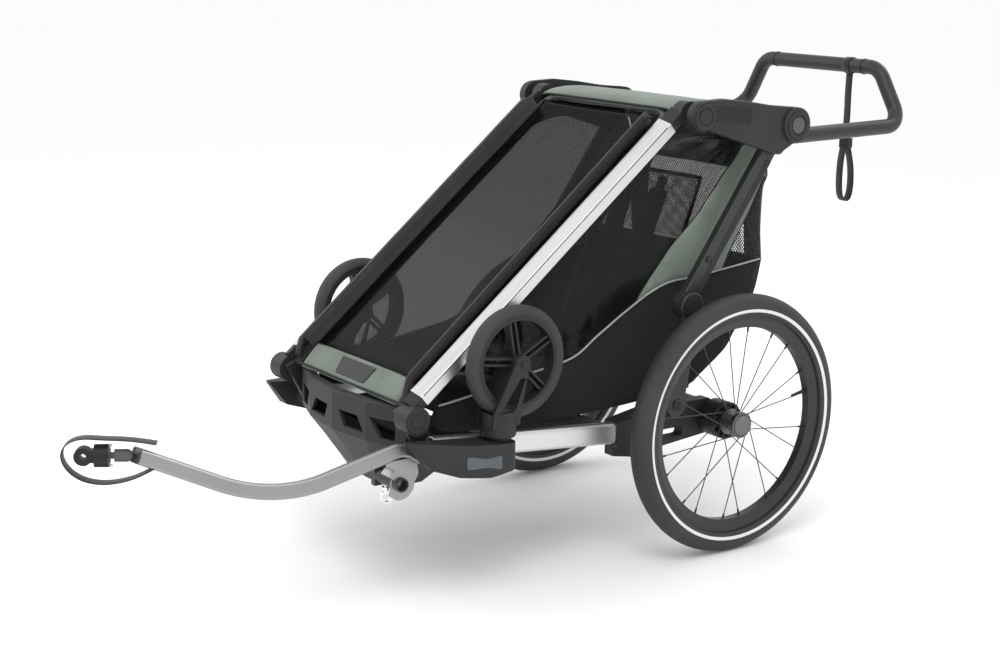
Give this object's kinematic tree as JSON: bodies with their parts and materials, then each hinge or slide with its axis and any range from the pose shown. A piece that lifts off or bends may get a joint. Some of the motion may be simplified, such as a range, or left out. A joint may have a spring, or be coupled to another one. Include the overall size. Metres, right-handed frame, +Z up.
{
  "type": "child bicycle trailer",
  "caption": "Folding single-seat child trailer with spoked wheels, push handlebar, drawbar and stowed stroller wheels.",
  "frame": {"origin": "on the ground, in the middle of the outline without its two loose straps", "axes": "+Z up, -Y the direction of travel, towards the bicycle, +X the trailer's left side"},
  "size_m": [0.654, 1.7418, 0.9079],
  "materials": {
    "tyre": "matt black tread and wall",
    "caster_rubber": "matt dark grey",
    "rim": "satin black anodised",
    "spokes": "black",
    "hub": "grey anodised",
    "hub_button": "grey",
    "brake_ring": "black",
    "axle": "satin black",
    "brake_bolt": "bright",
    "brake_pedal": "black",
    "extrusion": "satin anodised",
    "hitch_alloy": "satin",
    "bracket": "satin black",
    "moulding": "fine-grained charcoal",
    "fittings": "fine-grained charcoal",
    "struts": "satin black",
    "roof_tube": "satin black",
    "handlebar": "satin black with a foam grip",
    "handlebar_button": "grey",
    "webbing": "woven black",
    "keeper": "black",
    "caster": "charcoal",
    "bright_pin": "bright",
    "elastomer": "dark",
    "coupler": "black",
    "seat_cloth": "dark grey woven",
    "buckle": "black",
    "buckle_button": "red",
    "green_cloth": "sage green woven",
    "cover": "tinted window with a sage green band",
    "black_cloth": "black woven",
    "net": "black net with green edge bands"
  },
  "bodies": {
    "base": {"side_tubes": "extrusion", "rear_brackets": "moulding", "front_cross_tube": "bracket", "wing_left": "moulding", "wing_right": "moulding", "nose_tub": "moulding", "main_axle": "axle", "cabin_floor": "black_cloth", "hitch_arm": "hitch_alloy", "hitch_hook": "hitch_alloy", "seat": "seat_cloth", "harness_buckle": "buckle", "side_panels": "black_cloth", "rear_panel": "net", "cargo_bag": "black_cloth", "safety_strap": "webbing"},
    "pillars": {"front_pillars": "extrusion", "pillar_fittings": "fittings", "roof_tube": "roof_tube", "front_cover": "cover"},
    "arms": {"side_arm_left": "fittings", "side_arm_right": "fittings", "roof_canopy": "green_cloth"},
    "upper_struts": {"upper_strut_left": "struts", "upper_strut_right": "struts"},
    "lower_struts": {"lower_strut_left": "struts", "lower_strut_right": "struts"},
    "handlebar": {"handlebar": "handlebar", "wrist_strap": "webbing", "wrist_strap_keeper": "keeper"},
    "brake_pedal": {"brake_pedal": "brake_pedal"},
    "hitch_pin": {"hitch_pin": "bright_pin"},
    "coupler_knuckle": {"coupler_knuckle": "elastomer"},
    "coupler_cup": {"coupler_cup": "coupler", "coupler_pins": "bright_pin"},
    "buckle_button": {"buckle_button": "buckle_button"},
    "wheel_left": {"tyre_left": "tyre", "rim_left": "rim", "spokes_left": "spokes", "hub_left": "hub", "brake_ring_left": "brake_ring"},
    "hub_button_left": {"hub_button_left": "hub_button"},
    "brake_bolt_left": {"brake_bolt_left": "brake_bolt"},
    "fold_knob_left": {"fold_knob_left": "fittings"},
    "handlebar_button_left": {"handlebar_button_left": "handlebar_button"},
    "caster_fork_left": {"caster_fork_left": "caster"},
    "caster_wheel_left": {"caster_tyre_left": "caster_rubber", "caster_rim_left": "caster"},
    "wheel_right": {"tyre_right": "tyre", "rim_right": "rim", "spokes_right": "spokes", "hub_right": "hub", "brake_ring_right": "brake_ring"},
    "hub_button_right": {"hub_button_right": "hub_button"},
    "brake_bolt_right": {"brake_bolt_right": "brake_bolt"},
    "fold_knob_right": {"fold_knob_right": "fittings"},
    "handlebar_button_right": {"handlebar_button_right": "handlebar_button"},
    "caster_fork_right": {"caster_fork_right": "caster"},
    "caster_wheel_right": {"caster_tyre_right": "caster_rubber", "caster_rim_right": "caster"}
  },
  "joints": [
    {"name": "frame_fold", "type": "hinge", "parent": "base", "child": "pillars", "pos_m": [0, -0.3239, 0.342], "axis": [1, 0, 0], "range_deg": [-30, 0], "deforming": ["seat", "side_panels", "rear_panel", "cargo_bag", "roof_canopy"]},
    {"name": "arm_fold", "type": "hinge", "parent": "pillars", "child": "arms", "pos_m": [0, 0.2781, 0.83], "axis": [1, 0, 0], "range_deg": [0, 18.8]},
    {"name": "upper_strut_fold", "type": "hinge", "parent": "arms", "child": "upper_struts", "pos_m": [0, 0.4721, 0.765], "axis": [1, 0, 0], "range_deg": [-62, 0]},
    {"name": "lower_strut_fold", "type": "hinge", "parent": "base", "child": "lower_struts", "pos_m": [0, 0.2381, 0.294], "axis": [1, 0, 0], "range_deg": [-5.4, 0]},
    {"name": "handlebar_tilt", "type": "hinge", "parent": "arms", "child": "handlebar", "pos_m": [0, 0.5121, 0.803], "axis": [1, 0, 0], "range_deg": [-35, 75]},
    {"name": "brake_pedal_press", "type": "hinge", "parent": "base", "child": "brake_pedal", "pos_m": [0, 0.3501, 0.25], "axis": [1, 0, 0], "range_deg": [-20, 0]},
    {"name": "hitch_pin_pull", "type": "slide", "parent": "base", "child": "hitch_pin", "axis": [0, 0, -1], "range_m": [0, 0.04]},
    {"name": "coupler_yaw", "type": "hinge", "parent": "base", "child": "coupler_knuckle", "pos_m": [0.0822, -0.78171, 0.32], "axis": [0, 0, 1], "range_deg": [-25, 25]},
    {"name": "coupler_pitch", "type": "hinge", "parent": "coupler_knuckle", "child": "coupler_cup", "pos_m": [0.06401, -0.81161, 0.32], "axis": [-0.8543, 0.5198, 0], "range_deg": [-15, 15]},
    {"name": "buckle_press", "type": "slide", "parent": "base", "child": "buckle_button", "axis": [0, 0, -1], "range_m": [0, 0.003], "stiffness_N_per_m": 400},
    {"name": "wheel_spin_left", "type": "hinge", "parent": "base", "child": "wheel_left", "pos_m": [0.3035, 0.3501, 0.25], "axis": [1, 0, 0], "continuous": true},
    {"name": "hub_button_press_left", "type": "slide", "parent": "base", "child": "hub_button_left", "axis": [-1, 0, 0], "range_m": [0, 0.004], "stiffness_N_per_m": 400},
    {"name": "brake_bolt_slide_left", "type": "slide", "parent": "base", "child": "brake_bolt_left", "axis": [1, 0, 0], "range_m": [0, 0.008]},
    {"name": "fold_knob_turn_left", "type": "hinge", "parent": "lower_struts", "child": "fold_knob_left", "pos_m": [0.267, 0.2681, 0.478], "axis": [1, 0, 0], "range_deg": [0, 90]},
    {"name": "handlebar_button_press_left", "type": "slide", "parent": "arms", "child": "handlebar_button_left", "axis": [-1, 0, 0], "range_m": [0, 0.004], "stiffness_N_per_m": 400},
    {"name": "caster_lift_left", "type": "slide", "parent": "base", "child": "caster_fork_left", "axis": [0, 0, 1], "range_m": [0, 0.06]},
    {"name": "caster_spin_left", "type": "hinge", "parent": "caster_fork_left", "child": "caster_wheel_left", "pos_m": [0.262, -0.1369, 0.427], "axis": [1, 0, 0], "continuous": true},
    {"name": "wheel_spin_right", "type": "hinge", "parent": "base", "child": "wheel_right", "pos_m": [-0.3035, 0.3501, 0.25], "axis": [1, 0, 0], "continuous": true},
    {"name": "hub_button_press_right", "type": "slide", "parent": "base", "child": "hub_button_right", "axis": [1, 0, 0], "range_m": [0, 0.004], "stiffness_N_per_m": 400},
    {"name": "brake_bolt_slide_right", "type": "slide", "parent": "base", "child": "brake_bolt_right", "axis": [-1, 0, 0], "range_m": [0, 0.008]},
    {"name": "fold_knob_turn_right", "type": "hinge", "parent": "lower_struts", "child": "fold_knob_right", "pos_m": [-0.267, 0.2681, 0.478], "axis": [-1, 0, 0], "range_deg": [0, 90]},
    {"name": "handlebar_button_press_right", "type": "slide", "parent": "arms", "child": "handlebar_button_right", "axis": [1, 0, 0], "range_m": [0, 0.004], "stiffness_N_per_m": 400},
    {"name": "caster_lift_right", "type": "slide", "parent": "base", "child": "caster_fork_right", "axis": [0, 0, 1], "range_m": [0, 0.06]},
    {"name": "caster_spin_right", "type": "hinge", "parent": "caster_fork_right", "child": "caster_wheel_right", "pos_m": [-0.262, -0.1369, 0.427], "axis": [1, 0, 0], "continuous": true}
  ],
  "couplings": [
    {"joint": "arm_fold", "follows": "frame_fold", "ratio": -0.6267},
    {"joint": "upper_strut_fold", "follows": "frame_fold", "ratio": 2.0667},
    {"joint": "lower_strut_fold", "follows": "frame_fold", "ratio": 0.18},
    {"joint": "brake_bolt_slide_left", "follows": "brake_pedal_press", "m_per_rad": -0.0229},
    {"joint": "brake_bolt_slide_right", "follows": "brake_pedal_press", "m_per_rad": -0.0229}
  ]
}
